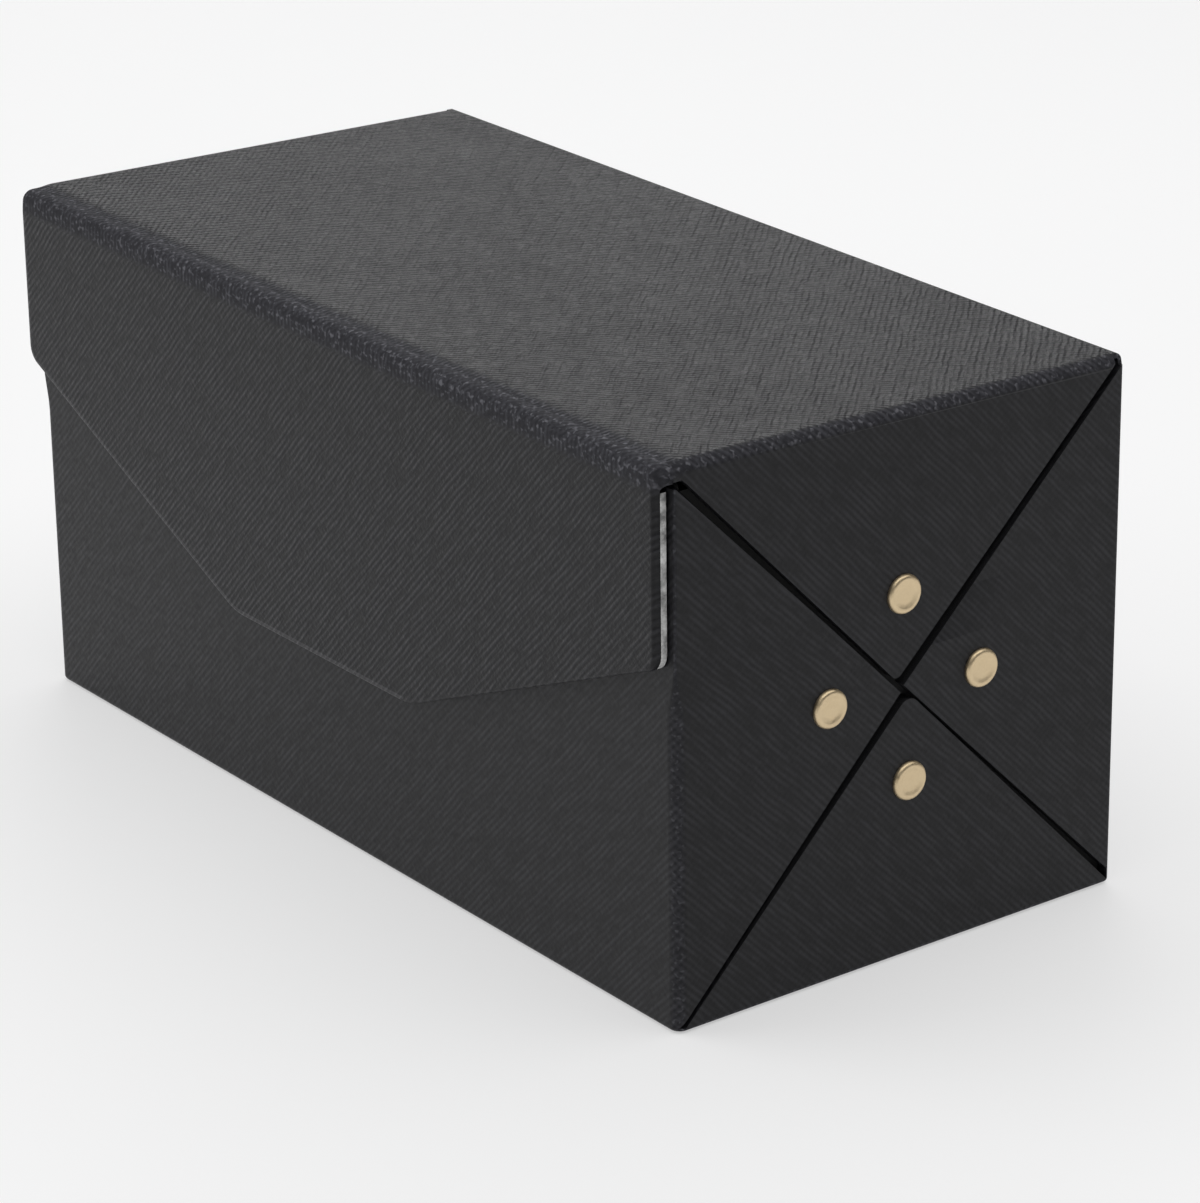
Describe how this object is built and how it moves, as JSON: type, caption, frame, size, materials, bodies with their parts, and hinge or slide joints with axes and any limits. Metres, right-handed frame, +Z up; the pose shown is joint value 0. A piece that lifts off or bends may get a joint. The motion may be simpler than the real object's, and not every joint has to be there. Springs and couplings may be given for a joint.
{
  "type": "rigid storage box",
  "caption": "Rectangular board box covered in black crosshatch-grained leatherette, with a back-hinged lid, a pointed front flap and riveted triangular end folds.",
  "frame": {"origin": "middle of the underside of the box", "axes": "+X along the box to its right end, -Y towards the front wall and its flap, +Z up"},
  "size_m": [0.2018, 0.101, 0.1024],
  "materials": {
    "leatherette": "black crosshatch-grained leatherette, low satin",
    "black_board": "black-dyed board, matt",
    "lining_paper": "black lining paper, matt",
    "pale_card": "black-faced card with a pale raw core",
    "brass": "pale brushed brass",
    "magnet": "nickel-plated bar magnet"
  },
  "bodies": {
    "box": {"back_board": "black_board", "back_lining": "lining_paper", "body_cover": "leatherette", "end_rivet_backs": "brass", "end_rivet_caps": "brass", "floor_board": "black_board", "floor_lining": "lining_paper", "front_board": "black_board", "front_lining": "lining_paper", "left_back_triangle_board": "black_board", "left_end_board": "black_board", "left_end_lining": "lining_paper", "left_floor_triangle_board": "black_board", "left_front_triangle_board": "black_board", "lid_hinge_fold": "leatherette", "lid_hinge_lining": "lining_paper", "right_back_triangle_board": "black_board", "right_end_board": "black_board", "right_end_lining": "lining_paper", "right_floor_triangle_board": "black_board", "right_front_triangle_board": "black_board", "sole_sheet": "lining_paper", "wall_magnets": "magnet"},
    "lid": {"flap_hinge_roll": "leatherette", "left_lid_triangle_board": "black_board", "lid_board": "black_board", "lid_cover": "leatherette", "lid_lining": "lining_paper", "lid_rivet_backs": "brass", "lid_rivet_caps": "brass", "right_lid_triangle_board": "black_board"},
    "flap": {"flap_board": "black_board", "flap_cover": "leatherette", "flap_lining_sheet": "pale_card", "flap_magnets": "magnet"}
  },
  "joints": [
    {"name": "lid_hinge", "type": "hinge", "parent": "box", "child": "lid", "pos_m": [0, 0.048, 0.099], "axis": [-1, 0, 0], "range_deg": [0, 110], "deforming": ["lid_hinge_fold", "lid_hinge_lining"]},
    {"name": "flap_hinge", "type": "hinge", "parent": "lid", "child": "flap", "pos_m": [0, -0.0496, 0.1], "axis": [-1, 0, 0], "range_deg": [0, 180], "deforming": ["flap_hinge_roll"]}
  ]
}
